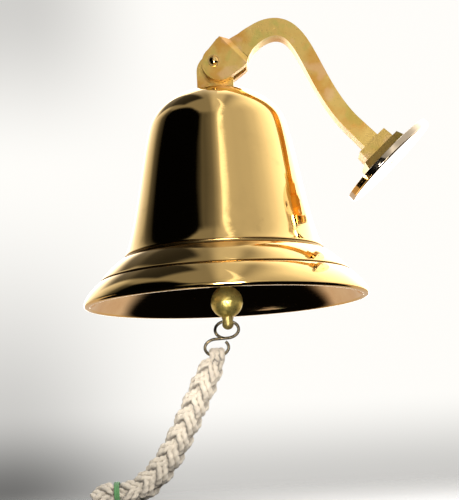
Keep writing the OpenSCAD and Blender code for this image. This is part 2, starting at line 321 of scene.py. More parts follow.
def spun_yarn(name, color, shade, threads, fuzz=0.45):
    """Twisted yarn: fine threads that wind round each strand, with painted shade between the threads and on
    each strand's hidden sides, and painted shade darkening it low down.
    """
    material, net = new_net(name)
    along, round_it, _ = net.parts(net.field("ShaderNodeUVMap", {"uv_map": "UVMap"}))
    thread = ((round_it - along) * (2 * math.pi * threads)).math("SINE") * 0.5 + 0.5
    fluff = net.noise(net.place(), 2400.0, 4.0, 0.7)
    cloud = net.noise(net.place(), 150.0, 3.0)
    # Painted shade: darker between the threads and on the sides and inside of each strand, where the strands
    # hide each other.
    strand_gap_shade = thread.rise(0.40, 0.0) * 0.30
    facing = (round_it * (2 * math.pi)).math("SINE")
    strand_gap_shade = strand_gap_shade + facing.rise(0.75, 0.0) * 0.75
    tone = net.mix(cloud.rise(0.40, 0.75) * 0.5, color, scaled(color, 0.84))
    tone = net.mix((strand_gap_shade + fluff.rise(0.58, 0.8) * 0.25).math("MINIMUM", 1.0), tone, shade)
    # Painted shade: the yarn turns darker and browner towards the bottom, in blotches.
    low_painted_shade = net.parts(net.place())[2].rise(SHADE_STARTS_Z, FULL_SHADE_Z) * (0.42 + cloud * 0.4)
    tone = net.mix(low_painted_shade, tone, scaled(shade, 0.9))
    height = thread * 0.7 + fluff * fuzz
    values = {"Sheen Weight": 0.25, "Sheen Roughness": 0.6, "Specular IOR Level": 0.2}
    net.surface(tone, 0.88, 0.0, net.bump(height, 0.0003, 0.6), values)
    return material


# ---------------------------------------------------------------- modelling


def deselect():
    if bpy.context.object and bpy.context.object.mode != "OBJECT":
        bpy.ops.object.mode_set(mode="OBJECT")
    bpy.ops.object.select_all(action="DESELECT")


def select_only(piece):
    deselect()
    piece.select_set(True)
    bpy.context.view_layer.objects.active = piece


def finish_place(piece):
    select_only(piece)
    bpy.ops.object.transform_apply(location=True, rotation=True, scale=True)
    return piece


def add_modifier(piece, kind, **settings):
    """Adds a modifier with these settings and applies it."""
    select_only(piece)
    modifier = piece.modifiers.new(kind.title(), kind)
    for name, value in settings.items():
        setattr(modifier, name, value)
    bpy.ops.object.modifier_apply(modifier=modifier.name)


def smooth(piece, degrees):
    select_only(piece)
    bpy.ops.object.shade_smooth_by_angle(angle=math.radians(degrees))


def bezier(points, steps, first=0):
    """Points [r, z] along a cubic curve, and the unit normal to the right of each."""
    p = np.array(points, float)
    t = (np.arange(first, steps + 1) / steps)[:, None]
    left = 1 - t
    spots = left**3 * p[0] + 3 * t * left**2 * p[1] + 3 * t * t * left * p[2] + t**3 * p[3]
    way = left**2 * (p[1] - p[0]) + 2 * t * left * (p[2] - p[1]) + t * t * (p[3] - p[2])
    way /= np.linalg.norm(way, axis=1)[:, None]
    return spots, np.stack([way[:, 1], -way[:, 0]], axis=1)


def spun(name, outline, centre, steps, axis=(0.0, 0.0, 1.0)):
    """Draws a closed outline of [radius, height] in millimetres and spins it round the axis."""
    deselect()
    points = [centre + (Vector((r, 0.0, 0.0)) + Vector(axis) * h) * MM for r, h in outline]
    bpy.ops.mesh.primitive_plane_add(size=MM, location=points[0])
    piece = bpy.context.object
    piece.name = name
    bpy.ops.object.mode_set(mode="EDIT")
    bpy.ops.mesh.select_all(action="SELECT")
    bpy.ops.mesh.merge(type="CENTER")
    for here, there in zip(points, points[1:] + points[:1]):
        step = tuple(there - here)
        bpy.ops.mesh.extrude_region_move(TRANSFORM_OT_translate={"value": step})
    bpy.ops.mesh.select_all(action="SELECT")
    bpy.ops.mesh.remove_doubles(threshold=WELD)
    bpy.ops.mesh.spin(steps=steps, angle=2 * math.pi, center=centre, axis=axis)
    bpy.ops.mesh.select_all(action="SELECT")
    bpy.ops.mesh.remove_doubles(threshold=WELD)
    bpy.ops.mesh.normals_make_consistent(inside=False)
    bpy.ops.object.mode_set(mode="OBJECT")
    return finish_place(piece)


FLAT_ENOUGH = math.radians(0.6)


def from_cad(node, name, edge, degrees=32.0, segments=2):
    """A copy of a CAD node with its loose faces joined, its edges eased and its curves smooth."""
    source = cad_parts[node]
    piece = source.copy()
    piece.data = source.data.copy()
    piece.name = name
    piece.parent = None
    for key in list(piece.keys()):
        del piece[key]
    bpy.context.scene.collection.objects.link(piece)
    piece.data.materials.clear()
    select_only(piece)
    bpy.ops.object.mode_set(mode="EDIT")
    bpy.ops.mesh.select_all(action="SELECT")
    bpy.ops.mesh.customdata_custom_splitnormals_clear()
    bpy.ops.mesh.remove_doubles(threshold=WELD)
    bpy.ops.mesh.dissolve_limited(angle_limit=FLAT_ENOUGH)
    bpy.ops.mesh.normals_make_consistent(inside=False)
    bpy.ops.object.mode_set(mode="OBJECT")
    add_modifier(piece, "BEVEL", width=edge * MM, segments=segments, limit_method="ANGLE",
                 angle_limit=math.radians(degrees), use_clamp_overlap=True)
    smooth(piece, degrees)
    add_modifier(piece, "WEIGHTED_NORMAL", keep_sharp=True, weight=80)
    return piece


def settle(piece, body, node, material):
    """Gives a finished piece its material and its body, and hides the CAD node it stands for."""
    if material is not None:
        piece.data.materials.clear()
        piece.data.materials.append(material)
    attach(piece, body)
    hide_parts(node)
    return piece


# ---------------------------------------------------------------- strands

STEPS_BETWEEN = 24
ROUTE_SPACING = 0.25
CAP_LENGTH = 1.6


class Route:
    """A smooth line through points in the bell's plane, measured along its length in millimetres."""

    def __init__(self, points):
        p = np.array(points, float)
        padded = np.vstack([2 * p[0] - p[1], p, 2 * p[-1] - p[-2]])
        spots = []
        for k in range(len(p) - 1):
            a, b, c, d = padded[k : k + 4]
            for t in np.linspace(0.0, 1.0, STEPS_BETWEEN, endpoint=False):
                spots.append(0.5 * (2 * b + (c - a) * t + (2 * a - 5 * b + 4 * c - d) * t * t
                                    + (3 * b - a - 3 * c + d) * t**3))
        spots.append(p[-1])
        spots = np.array(spots)
        marks = np.concatenate([[0.0], np.cumsum(np.linalg.norm(np.diff(spots, axis=0), axis=1))])
        self.length = marks[-1]
        self.marks = np.arange(0.0, self.length, ROUTE_SPACING)
        self.spots = np.stack([np.interp(self.marks, marks, spots[:, i]) for i in range(3)], axis=1)
        way = np.gradient(self.spots, axis=0)
        self.way = way / np.linalg.norm(way, axis=1)[:, None]

    def frames(self, marks):
        """Middle, along, across and up vectors at each distance; past the ends it runs on straight."""
        spots = np.stack([np.interp(marks, self.marks, self.spots[:, i]) for i in range(3)], axis=1)
        way = np.stack([np.interp(marks, self.marks, self.way[:, i]) for i in range(3)], axis=1)
        way /= np.linalg.norm(way, axis=1)[:, None]
        beyond = marks - np.clip(marks, self.marks[0], self.marks[-1])
        spots = spots + way * beyond[:, None]
        side = np.tile([0.0, 1.0, 0.0], (len(marks), 1))
        return spots, way, side, np.cross(way, side)


def strand(spots, out, wide, thick, sides, lobes, twist, depth):
    """One twisted strand: rings of vertices, faces and UVs, in millimetres from the pin.

    It has lobes plies, each standing out by depth of its radius and going once round in twist."""
    spots = np.asarray(spots, float)
    count = len(spots)
    way = np.gradient(spots, axis=0)
    way /= np.linalg.norm(way, axis=1)[:, None]
    out = out - (out * way).sum(1)[:, None] * way
    out /= np.linalg.norm(out, axis=1)[:, None]
    side = np.cross(way, out)
    steps = np.linalg.norm(np.diff(spots, axis=0), axis=1)
    along = np.concatenate([[0.0], np.cumsum(steps)])
    angle = np.linspace(0.0, 2 * math.pi, sides, endpoint=False)
    ends = np.minimum(along, along[-1] - along)
    cap = np.sqrt(np.clip(1 - (1 - np.clip(ends / CAP_LENGTH, 0.0, 1.0)) ** 2, 0.05, 1.0))
    bulge = 1 + depth * np.cos(lobes * angle[None, :] - lobes * 2 * math.pi * along[:, None] / twist)
    rings = (spots[:, None, :]
             + side[:, None, :] * (np.cos(angle)[None, :] * bulge * (wide * cap)[:, None] / 2)[..., None]
             + out[:, None, :] * (np.sin(angle)[None, :] * bulge * (thick * cap)[:, None] / 2)[..., None])
    verts = np.vstack([rings.reshape(-1, 3), spots[:1], spots[-1:]])
    faces = []
    uvs = []
    for i in range(count - 1):
        low, high = along[i] / twist, along[i + 1] / twist
        for k in range(sides):
            n = (k + 1) % sides
            faces.append((i * sides + k, i * sides + n, (i + 1) * sides + n, (i + 1) * sides + k))
            left, right = k / sides, (k + 1) / sides
            uvs.extend([(low, left), (low, right), (high, right), (high, left)])
    first, last = count * sides, count * sides + 1
    for k in range(sides):
        n = (k + 1) % sides
        faces.append((first, n, k))
        faces.append((last, (count - 1) * sides + k, (count - 1) * sides + n))
        for mark in (along[0], along[-1]):
            u = mark / twist
            uvs.extend([(u, 0.5), (u, k / sides), (u, (k + 1) / sides)])
    return verts, faces, uvs


def strands_piece(name, strands):
    """Joins strands into one mesh, placed in the row's frame."""
    all_verts, all_faces, all_uvs = [], [], []
    for verts, faces, uvs in strands:
        start = len(all_verts)
        all_verts.extend(tuple(PIVOT + Vector(v) * MM) for v in verts)
        all_faces.extend(tuple(start + k for k in face) for face in faces)
        all_uvs.extend(uvs)
    mesh = bpy.data.meshes.new(name)
    mesh.from_pydata(all_verts, [], all_faces)
    layer = mesh.uv_layers.new(name="UVMap")
    layer.data.foreach_set("uv", np.array(all_uvs, float).ravel())
    piece = bpy.data.objects.new(name, mesh)
    bpy.context.scene.collection.objects.link(piece)
    select_only(piece)
    bpy.ops.object.mode_set(mode="EDIT")
    bpy.ops.mesh.select_all(action="SELECT")
    bpy.ops.mesh.normals_make_consistent(inside=False)
    bpy.ops.object.mode_set(mode="OBJECT")
    smooth(piece, 60)
    return piece


# ---------------------------------------------------------------- sizes

# The flare's outline was drawn this wide and high; other sizes stretch it.
DRAWN_FLARE_WIDE = 30.0
DRAWN_FLARE_HIGH = 35.5

# Blender shows a camera distance in millimetres, and the sizes below are in millimetres too.
AS_MM = "DISTANCE_CAMERA"


class BellSizes(bpy.types.PropertyGroup):
    """Sizes of the turned shell, in millimetres; their defaults follow the CAD model."""

    mouth: FloatProperty(name="Mouth", description="Diameter across the mouth", subtype=AS_MM,
                         default=(BELL_HIGH.x - BELL_LOW.x) / MM, min=150.0)
    height: FloatProperty(name="Height", description="Height from the lip to the crown", subtype=AS_MM,
                          default=(BELL_HIGH.z - BELL_LOW.z) / MM, min=100.0)
    shoulder: FloatProperty(name="Shoulder", description="Diameter below the shoulder", subtype=AS_MM,
                            default=97.6)
    shoulder_drop: FloatProperty(name="Shoulder drop", description="Depth of the shoulder", subtype=AS_MM,
                                 default=26.0)
    waist: FloatProperty(name="Waist", description="Diameter at the waist groove", subtype=AS_MM,
                         default=140.0)
    flare: FloatProperty(name="Flare", description="Height of the flared part", subtype=AS_MM,
                         default=DRAWN_FLARE_HIGH)
    wall: FloatProperty(name="Wall", description="Thickness of the shell", subtype=AS_MM, default=3.6,
                        min=1.0)
    lip: FloatProperty(name="Lip", description="Thickness of the lip", subtype=AS_MM, default=5.0, min=1.0)
    strand_gap_shade: FloatProperty(name="Groove", description="Depth of the turned grooves", subtype=AS_MM,
                          default=1.2)
    steps: IntProperty(name="Steps", description="Facets round the shell", default=192, min=48)


class LanyardSizes(bpy.types.PropertyGroup):
    """Sizes of the plaited lanyard, in millimetres."""

    thick: FloatProperty(name="Thickness", description="Diameter of the plait", subtype=AS_MM, default=19.0,
                         min=8.0)
    pitch: FloatProperty(name="Pitch", description="Length in which a strand goes once round", subtype=AS_MM,
                         default=52.0)
    cord_wide: FloatProperty(name="Cord width", description="Width of each cord in a pair", subtype=AS_MM,
                             default=4.1)
    cord_thick: FloatProperty(name="Cord depth", description="Depth of each cord", subtype=AS_MM, default=4.8)
    band: FloatProperty(name="Tie", description="Length of the green tie", subtype=AS_MM, default=3.6)
    knob: FloatProperty(name="Knob", description="Length of the knob past the tie", subtype=AS_MM,
                        default=17.0)
    knob_thick: FloatProperty(name="Knob thickness", description="Diameter of the knob", subtype=AS_MM,
                              default=20.0)


class Finishes(bpy.types.PropertyGroup):
    """Colours of the metals and the cotton."""

    brass: FloatVectorProperty(name="Brass", description="Polished brass", subtype="COLOR", size=3,
                               default=(0.93, 0.63, 0.24), min=0.0, max=1.0)
    satin: FloatVectorProperty(name="Satin brass", description="Milled bracket brass", subtype="COLOR",
                               size=3, default=(0.88, 0.60, 0.18), min=0.0, max=1.0)
    cast: FloatVectorProperty(name="Cast brass", description="The clapper's ball", subtype="COLOR", size=3,
                              default=(0.92, 0.72, 0.20), min=0.0, max=1.0)
    cotton: FloatVectorProperty(name="Cotton", description="The lanyard's yarn", subtype="COLOR", size=3,
                                default=(0.84, 0.73, 0.58), min=0.0, max=1.0)
    tie: FloatVectorProperty(name="Tie", description="The green twine", subtype="COLOR", size=3,
                             default=(0.13, 0.36, 0.12), min=0.0, max=1.0)


class StageSettings(bpy.types.PropertyGroup):
    """The floor, the light and the camera."""

    floor: FloatProperty(name="Floor", description="Brightness of the floor", subtype="FACTOR", default=0.54,
                         min=0.0, max=1.0)
    light: FloatProperty(name="Light", description="Brightness of the surroundings", default=1.0, min=0.0)
    lens: FloatProperty(name="Lens", description="Focal length", subtype=AS_MM, default=108.93)
    roll: FloatProperty(name="Roll", description="Tilt of the camera", subtype="ANGLE",
                        default=math.radians(-3.0))


class ShipBellSettings(bpy.types.PropertyGroup):
    """All that a user would change."""

    bell: PointerProperty(type=BellSizes)
    lanyard: PointerProperty(type=LanyardSizes)
    finish: PointerProperty(type=Finishes)
    stage: PointerProperty(type=StageSettings)


# ---------------------------------------------------------------- bell

BOLT_HOLE_R = 3.05
BAND_DROP = 17.0
EASED_EDGE = 0.22

# Heights of the two turned grooves, below the waist and below the band, in millimetres.
WAIST_GROOVE = (-1.9, -0.3)
BAND_GROOVE = (-0.9, -0.3)

# How much of the shell counts as its inside, for the second material.
UNDER_CROWN_R = 40.0
LIP_CLEAR = 0.6


def shell_outline(size):
    """The turned outline, from the bolt hole over the crown and flare and back up the inside."""
    half, high, waist = size.mouth / 2, size.height, size.waist / 2
    waist_z = -(high - size.flare)
    shoulder_r = size.shoulder / 2
    shoulder = [[14, 0], [22, 0], [shoulder_r - 4.8, -size.shoulder_drop / 3],
                [shoulder_r, -size.shoulder_drop]]
    body = [shoulder[3], [shoulder_r + 6.4, -size.shoulder_drop - 22], [waist - 8.5, waist_z + 14.5],
            [waist, waist_z]]
    wider, deeper = (half - waist) / DRAWN_FLARE_WIDE, size.flare / DRAWN_FLARE_HIGH
    band_end = [waist + 17.5 * wider, waist_z - BAND_DROP * deeper]
    band = [[waist + 0.8, waist_z - 2.2], [waist + 5.5 * wider, waist_z - 4.3 * deeper],
            [waist + 13 * wider, waist_z - 11.3 * deeper], band_end]
    flare = [[band_end[0] + 0.6, band_end[1] - size.strand_gap_shade], [half - 7.5 * wider, waist_z - 21.5 * deeper],
             [half - 1.7 * wider, -high + 8 * deeper], [half, -high + 2.5]]
    throat = [[waist - size.wall, waist_z], [waist + 3 * wider, waist_z - 9 * deeper],
              [half - 12 * wider, waist_z - 19 * deeper], [half - size.lip, -high + 1]]
    outer = [[[BOLT_HOLE_R, 0]], bezier(shoulder, 22)[0], bezier(body, 44, 1)[0],
             [[waist - size.strand_gap_shade, waist_z + drop] for drop in reversed(WAIST_GROOVE)],
             bezier(band, 18)[0], [[band_end[0] - size.strand_gap_shade, band_end[1] - size.strand_gap_shade / 2]],
             bezier(flare, 26)[0],
             [[half - 0.2, -high + 1.2], [half - 0.8, -high + 0.4], [half - 2, -high],
              [half - size.lip + 1, -high]]]
    spots, right = bezier(body, 30, 1)
    inner_body = (spots + size.wall * right)[:-1]
    spots, right = bezier(shoulder, 16)
    inner = [bezier(throat, 20)[0][::-1], inner_body[::-1], (spots + size.wall * right)[::-1],
             [[BOLT_HOLE_R, -size.wall]]]
    return [tuple(p) for part in outer + inner for p in part]


class SHIPBELL_OT_shell(bpy.types.Operator):
    """Turn the bell's shell"""

    bl_idname = "ship_bell.shell"
    bl_label = "Bell Shell"

    def execute(self, context):
        settings = context.scene.ship_bell
        size = settings.bell
        crown = at(0, 0, 0)
        crown.z = BELL_HIGH.z
        shell = spun("bell", shell_outline(size), crown, size.steps)
        add_modifier(shell, "BEVEL", width=EASED_EDGE * MM, segments=2, limit_method="ANGLE",
                     angle_limit=math.radians(34), use_clamp_overlap=True)
        waist_z = crown.z - (size.height - size.flare) * MM
        step_z = waist_z - BAND_DROP * MM
        grooves = [tuple(waist_z + h * MM for h in WAIST_GROOVE), tuple(step_z + h * MM for h in BAND_GROOVE)]
        outside = polished_brass("bell_outside", settings.finish.brass, True, grooves)
        settle(shell, "bell", "bell_shell", outside)
        shell.data.materials.append(inner_brass("bell_inside"))
        for face in shell.data.polygons:
            across = Vector((face.center.x - crown.x, face.center.y - crown.y, 0.0))
            inward = across.normalized().dot(face.normal)
            under_crown = across.length < UNDER_CROWN_R * MM and face.normal.z < -0.5
            if (inward < -0.05 or under_crown) and face.center.z > BELL_LOW.z + LIP_CLEAR * MM:
                face.material_index = 1
        smooth(shell, 32)
        return {"FINISHED"}


class SHIPBELL_OT_crown(bpy.types.Operator):
    """Finish the crown lug and the eyebolt, washer and nut under the crown"""

    bl_idname = "ship_bell.crown"
    bl_label = "Crown Lug and Eyebolt"

    def execute(self, context):
        finish = context.scene.ship_bell.finish
        lug_metal = satin_brass("lug_brass", finish.satin, (60.0, 60.0, 300.0))
        settle(from_cad("crown_lug", "lug", 0.7), "bell", "crown_lug", lug_metal)
        dull = cast_brass("dull_brass", DULL_BRASS, DULL_DARK, grain=700.0, depth=0.0002)
        for node in ("clapper_eyebolt", "crown_washer", "crown_nut"):
            piece = from_cad(node, node.replace("clapper_", "").replace("crown_", "under_"), 0.25)
            settle(piece, "bell", node, dull)
        return {"FINISHED"}


# ---------------------------------------------------------------- bracket


class SHIPBELL_OT_bracket(bpy.types.Operator):
    """Finish the wall plate, the stepped boss, the swan neck and its screw"""

    bl_idname = "ship_bell.bracket"
    bl_label = "Wall Bracket"

    def execute(self, context):
        finish = context.scene.ship_bell.finish
        arm_metal = satin_brass("arm_brass", finish.satin, (40.0, 320.0, 40.0))
        plate_metal = polished_brass("plate_brass", PLATE_BRASS, lines=False)
        arm = from_cad("bracket_arm", "swan_neck", 0.8, segments=3)
        settle(arm, "bracket", "bracket_arm", arm_metal)
        boss = from_cad("base_boss", "boss", 0.9, segments=3)
        settle(boss, "bracket", "base_boss", arm_metal)
        settle(from_cad("wall_plate", "plate", 0.35), "bracket", "wall_plate", plate_metal)
        screw_metal = satin_brass("screw_brass", finish.satin, (200.0, 200.0, 200.0))
        settle(from_cad("arm_screw", "screw", 0.2), "bracket", "arm_screw", screw_metal)
        return {"FINISHED"}


PIN_HEAD_H = 2.0
PIN_SHANK_R = 2.5


class SHIPBELL_OT_pivot(bpy.types.Operator):
    """Finish the pivot pin and its washers"""

    bl_idname = "ship_bell.pivot"
    bl_label = "Pivot Pin"

    def execute(self, context):
        finish = context.scene.ship_bell.finish
        metal = polished_brass("pin_brass", finish.brass, lines=False)
        low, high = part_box("pivot_pin")
        head_r = (high.x - low.x) / 2 / MM
        half = (high.y - low.y) / 2 / MM
        curve_r = (head_r**2 + PIN_HEAD_H**2) / (2 * PIN_HEAD_H)
        angles = np.linspace(0, math.asin(head_r / curve_r), 12)
        dome = [(curve_r * math.sin(a), half - curve_r + curve_r * math.cos(a)) for a in angles]
        side = [*dome, (PIN_SHANK_R, half - PIN_HEAD_H)]
        outline = side + [(r, -h) for r, h in reversed(side)]
        pin = spun("pin", outline, PIVOT, 48, (0.0, 1.0, 0.0))
        smooth(pin, 40)
        settle(pin, "bracket", "pivot_pin", metal)
        settle(from_cad("pin_washers", "washers", 0.18, 40), "bracket", "pin_washers", metal)
        return {"FINISHED"}


# ---------------------------------------------------------------- clapper

BALL_BORE_R = 4.0
BALL_INSET = 0.15
BALL_GRAIN = 2.6
BALL_ROUGH = 0.5


class SHIPBELL_OT_clapper(bpy.types.Operator):
    """Make the rough cast ball and finish its rod"""

    bl_idname = "ship_bell.clapper"
    bl_label = "Clapper"

    def execute(self, context):
        finish = context.scene.ship_bell.finish
        centre = (BALL_LOW + BALL_HIGH) / 2
        radius = (BALL_HIGH.x - BALL_LOW.x) / 2 / MM - BALL_INSET
        edge = math.asin(BALL_BORE_R / radius)
        angles = np.linspace(math.pi / 2 - edge, edge - math.pi / 2, 46)
        outline = [(radius * math.cos(a), radius * math.sin(a)) for a in angles]
        ball = spun("ball", outline, centre, 80)
        grain = bpy.data.textures.new("casting_grain", "CLOUDS")
        grain.noise_scale = BALL_GRAIN * MM
        grain.noise_depth = 3
        add_modifier(ball, "DISPLACE", texture=grain, texture_coords="LOCAL", strength=BALL_ROUGH * MM,
                     mid_level=0.75)
        metal = cast_brass("ball_brass", finish.cast, BALL_DARK, grain=650.0, depth=0.0003, metallic=0.85)
        settle(ball, "clapper", "clapper_ball", metal)
        smooth(ball, 60)
        rod = from_cad("clapper_rod", "clapper_stem", 0.5, 40, 3)
        stem_metal = cast_brass("stem_brass", STEM_BRASS, STEM_DARK, grain=520.0, depth=0.0004, metallic=0.6)
        settle(rod, "clapper", "clapper_rod", stem_metal)
        return {"FINISHED"}


HOOK_WIRE = 2.1
HOOK_LOOP = (8.3, 5.95)
UPPER_LOOP = (-1.0, -191.25)
LOWER_LOOP = (-8.6, -203.45)

# Start, stop and step of each loop's turn, in degrees from the right.
LOWER_TURN = (40.0, -271.0, -6.2)
UPPER_TURN = (-90.0, 262.0, 6.1)

# Where the upper loop's end passes behind the middle bar, and how much of the way it has gone.
PASSING = ([120, 150, 180, 205], [0.0, 0.2, 0.75, 1.0])
WIRES_APART = 0.4


class SHIPBELL_OT_hook(bpy.types.Operator):
    """Bend the wire hook: the lower loop from its free end, then the upper loop"""

    bl_idname = "ship_bell.hook"
    bl_label = "Wire Hook"

    def execute(self, context):
        turns = [(LOWER_LOOP, math.radians(a), 0.0) for a in np.arange(*LOWER_TURN)]
        for a in np.arange(*UPPER_TURN):
            behind = np.interp(a, *PASSING) * (HOOK_WIRE + WIRES_APART)
            turns.append((UPPER_LOOP, math.radians(a), behind))
        bend = bpy.data.curves.new("hook_bend", "CURVE")
        bend.dimensions = "3D"
        bend.bevel_depth = HOOK_WIRE / 2 * MM
        bend.bevel_resolution = 4
        bend.use_fill_caps = True
        line = bend.splines.new("POLY")
        line.points.add(len(turns) - 1)
        for point, (loop, a, behind) in zip(line.points, turns):
            spot = at(loop[0] + HOOK_LOOP[0] * math.cos(a), behind, loop[1] + HOOK_LOOP[1] * math.sin(a))
            point.co = (*spot, 1.0)
        hook = bpy.data.objects.new("hook", bend)
        context.scene.collection.objects.link(hook)
        select_only(hook)
        bpy.ops.object.convert(target="MESH")
        hook = context.object
        bpy.ops.object.mode_set(mode="EDIT")
        bpy.ops.mesh.select_all(action="SELECT")
        bpy.ops.mesh.remove_doubles(threshold=0.01 * MM)
        bpy.ops.mesh.normals_make_consistent(inside=False)
        bpy.ops.object.mode_set(mode="OBJECT")
        add_modifier(hook, "BEVEL", width=0.35 * MM, segments=3, limit_method="ANGLE",
                     angle_limit=math.radians(60), use_clamp_overlap=True)
        settle(hook, "hook", "s_hook", wire_metal("hook_wire", WIRE_DARK, WIRE_WORN))
        smooth(hook, 50)
        return {"FINISHED"}


# ---------------------------------------------------------------- lanyard

LANYARD_ROUTE = [
    (-12, 0, -216), (-15, 0, -221), (-19, 0, -229), (-23.5, 0, -238), (-28, 0, -247),
    (-32.5, 0, -256), (-37.5, 0, -265), (-42.5, 0, -273.5), (-48, 0, -281.5), (-54, 0, -288.5),
    (-60.5, 0, -294.5), (-67.5, 0, -299), (-74, 0, -301.2), (-80, 0, -301.8),
]
WIRE_BOTTOM = (LOWER_LOOP[0], 0.0, LOWER_LOOP[1] - HOOK_LOOP[1])
FACE_TURN = math.radians(118)

# How far a pair rises and sinks as it passes over and under, and how far apart its two cords lie.
WEAVE_LIFT = 2.5
TWIN_SPREAD = 0.46
PLAIT_STEP = 0.5

# The plait starts inside the eye at TOP_SHARE of its thickness, and thins again where it is tied.
PLAIT_START = -2.2
TOP_SHARE = 0.80
TOP_LENGTH = 9.0
TIED_LENGTH = 5.0

TIE_TURNS = 3
TIE_PITCH = 1.2
EYE_RING_R = 3.35
EYE_SHIFTS = (-3.4, 0.0, 3.4)


def plait(route, size, start, stop, width, phase=0.0):
    """Eight pairs of cords, four each way, each over two and under two, from start to stop along the route.

    width gives the plait's diameter at each distance along it."""
    found = []
    marks = np.arange(start, stop, PLAIT_STEP)
    middle, _, side, up = route.frames(marks)
    share = width(marks) / size.thick
    core = size.thick / 2 - size.cord_thick / 2 - WEAVE_LIFT
    for hand in (1, -1):
        for k in range(4):
            turn = hand * 2 * math.pi * marks / size.pitch + k * math.pi / 2 + phase
            if hand < 0:
                turn = turn + math.pi / 4
            reach = (core + hand * WEAVE_LIFT * np.cos(2 * (turn - FACE_TURN))) * share
            out = np.cos(turn)[:, None] * up + np.sin(turn)[:, None] * side
            spots = middle + out * reach[:, None]
            taper = np.clip(share, 0.55, 1.2)
            across = np.cross(np.gradient(spots, axis=0), out)
            across /= np.linalg.norm(across, axis=1)[:, None]
            for twin in (-1, 1):
                beside = spots + across * (twin * TWIN_SPREAD * size.cord_wide * taper)[:, None]
                found.append(strand(beside, out, size.cord_wide * taper, size.cord_thick * taper,
                                    sides=12, lobes=2, twist=-hand * 7.5, depth=0.17))
    return found


class SHIPBELL_OT_lanyard(bpy.types.Operator):
    """Plait the cotton lanyard, with its eye, green tie and knob"""

    bl_idname = "ship_bell.lanyard"
    bl_label = "Lanyard"

    def execute(self, context):
        settings = context.scene.ship_bell
        size = settings.lanyard
        finish = settings.finish
        cotton = spun_yarn("cotton", finish.cotton, scaled(finish.cotton, 0.30), threads=9.0)
        route = Route(LANYARD_ROUTE)
        end = route.length

        def rope_width(marks):
            fuller = np.sin(np.clip(marks / TOP_LENGTH, 0.0, 1.0) * math.pi / 2)
            top = TOP_SHARE + (1 - TOP_SHARE) * fuller
            tied = 1 - 0.10 * np.clip((marks - end + TIED_LENGTH) / TIED_LENGTH, 0.0, 1.0)
            return size.thick * top * tied

        knob_start = end + size.band * 0.5
        knob_end = end + size.band + size.knob
        rope = strands_piece("lanyard_plait", plait(route, size, PLAIT_START, knob_start, rope_width))
        settle(rope, "hook", "lanyard", cotton)

        def knob_width(marks):
            along = (marks - knob_start) / (knob_end - knob_start)
            swell = np.sqrt(np.clip(1 - np.abs(2 * along - 0.95) ** 3.2, 0.02, 1.0))
            return np.maximum(size.knob_thick * swell, size.thick * 0.2) * np.where(along < 0.2, 0.97, 1.0)

        knob = strands_piece("lanyard_end", plait(route, size, knob_start, knob_end - 1.2, knob_width, 0.3))
        settle(knob, "hook", "lanyard_knob", cotton)

        bands = []
        for k in range(TIE_TURNS):
            angle = np.linspace(0.0, 2 * math.pi, 65)
            marks = end + 0.6 + TIE_PITCH * k + 0.5 * np.sin(angle + 1.0)
            middle, _, side, up = route.frames(marks)
            out = np.cos(angle)[:, None] * up + np.sin(angle)[:, None] * side
            ones = np.ones(len(angle))
            bands.append(strand(middle + out * (size.thick / 2 - 0.35), out, ones * 1.35, ones * 1.2,
                                sides=10, lobes=3, twist=4.0, depth=0.10))
        tie = strands_piece("green_tie", bands)
        settle(tie, "hook", "lanyard_band",
               spun_yarn("green_twine", finish.tie, scaled(finish.tie, 0.35), threads=6.0))

        loops = []
        for shift in EYE_SHIFTS:
            angle = np.linspace(-0.35 * math.pi, 1.35 * math.pi, 44)
            spots = np.stack([np.full(len(angle), WIRE_BOTTOM[0] + shift * 0.9),
                              -np.cos(angle) * EYE_RING_R,
                              WIRE_BOTTOM[2] + 0.4 + np.sin(angle) * EYE_RING_R], axis=1)
            low = spots[0] + np.array([-3.0, 1.5, -7.5])
            low_far = spots[-1] + np.array([-3.0, -1.5, -7.5])
            lead = np.linspace(0.0, 1.0, 10)[:-1, None]
            leg = low + (spots[0] - low) * lead
            leg_far = (low_far + (spots[-1] - low_far) * lead)[::-1]
            spots = np.vstack([leg, spots, leg_far])
            hub = np.array([WIRE_BOTTOM[0] - 1.0, 0.0, WIRE_BOTTOM[2] - 4.0])
            ones = np.ones(len(spots))
            loops.append(strand(spots, spots - hub, ones * 4.8, ones * 3.8,
                                sides=14, lobes=2, twist=7.5, depth=0.14))
        eye = strands_piece("lanyard_loop", loops)
        settle(eye, "hook", "lanyard_eye", cotton)

        return {"FINISHED"}


# ---------------------------------------------------------------- stage

CAMERA_SPOT = (29.18, -968.83, -280.0)
CAMERA_AIM = (3.81, 0.0, -135.15)
SENSOR_WIDE = 36.0
NEAREST_SEEN = 0.01

# Brightness round the horizon, by degrees from the camera's side, positive to the right.
SURROUND = [
    (-180, 3.0), (-165, 2.3), (-150, 1.5), (-132, 0.75), (-116, 0.10), (-104, 0.0008), (-32, 0.0008),
    (-27, 0.05), (-24, 0.10), (-20, 0.09), (-10, 0.16), (-2, 0.34), (5, 0.85), (14, 0.60),
    (28, 0.55), (50, 0.58), (70, 0.78), (90, 1.35), (106, 1.7), (130, 2.4), (150, 3.0), (180, 3.0),
]
BRIGHTEST = 3.0

LIGHT_TINT = (1.0, 0.975, 0.93)
BACKDROP_TINT = (1.0, 0.985, 0.95)

# The dark window: its middle and half width in degrees, and the heights where its round top meets
# the ceiling. To the right of it, over SOFT_SIDE, the ceiling's edge turns soft.
WINDOW_TURN, WINDOW_HALF_WIDE = -71, 34
WINDOW_EDGE = (54, 61)
SOFT_EDGE = (44, 78)
SOFT_SIDE = (-16, 14)

# The dark strip under the ceiling at the left, by direction.
SOFFIT_SIDE = (-0.47, -0.22, 0.07)
SOFFIT_HEIGHT = (22, 36)

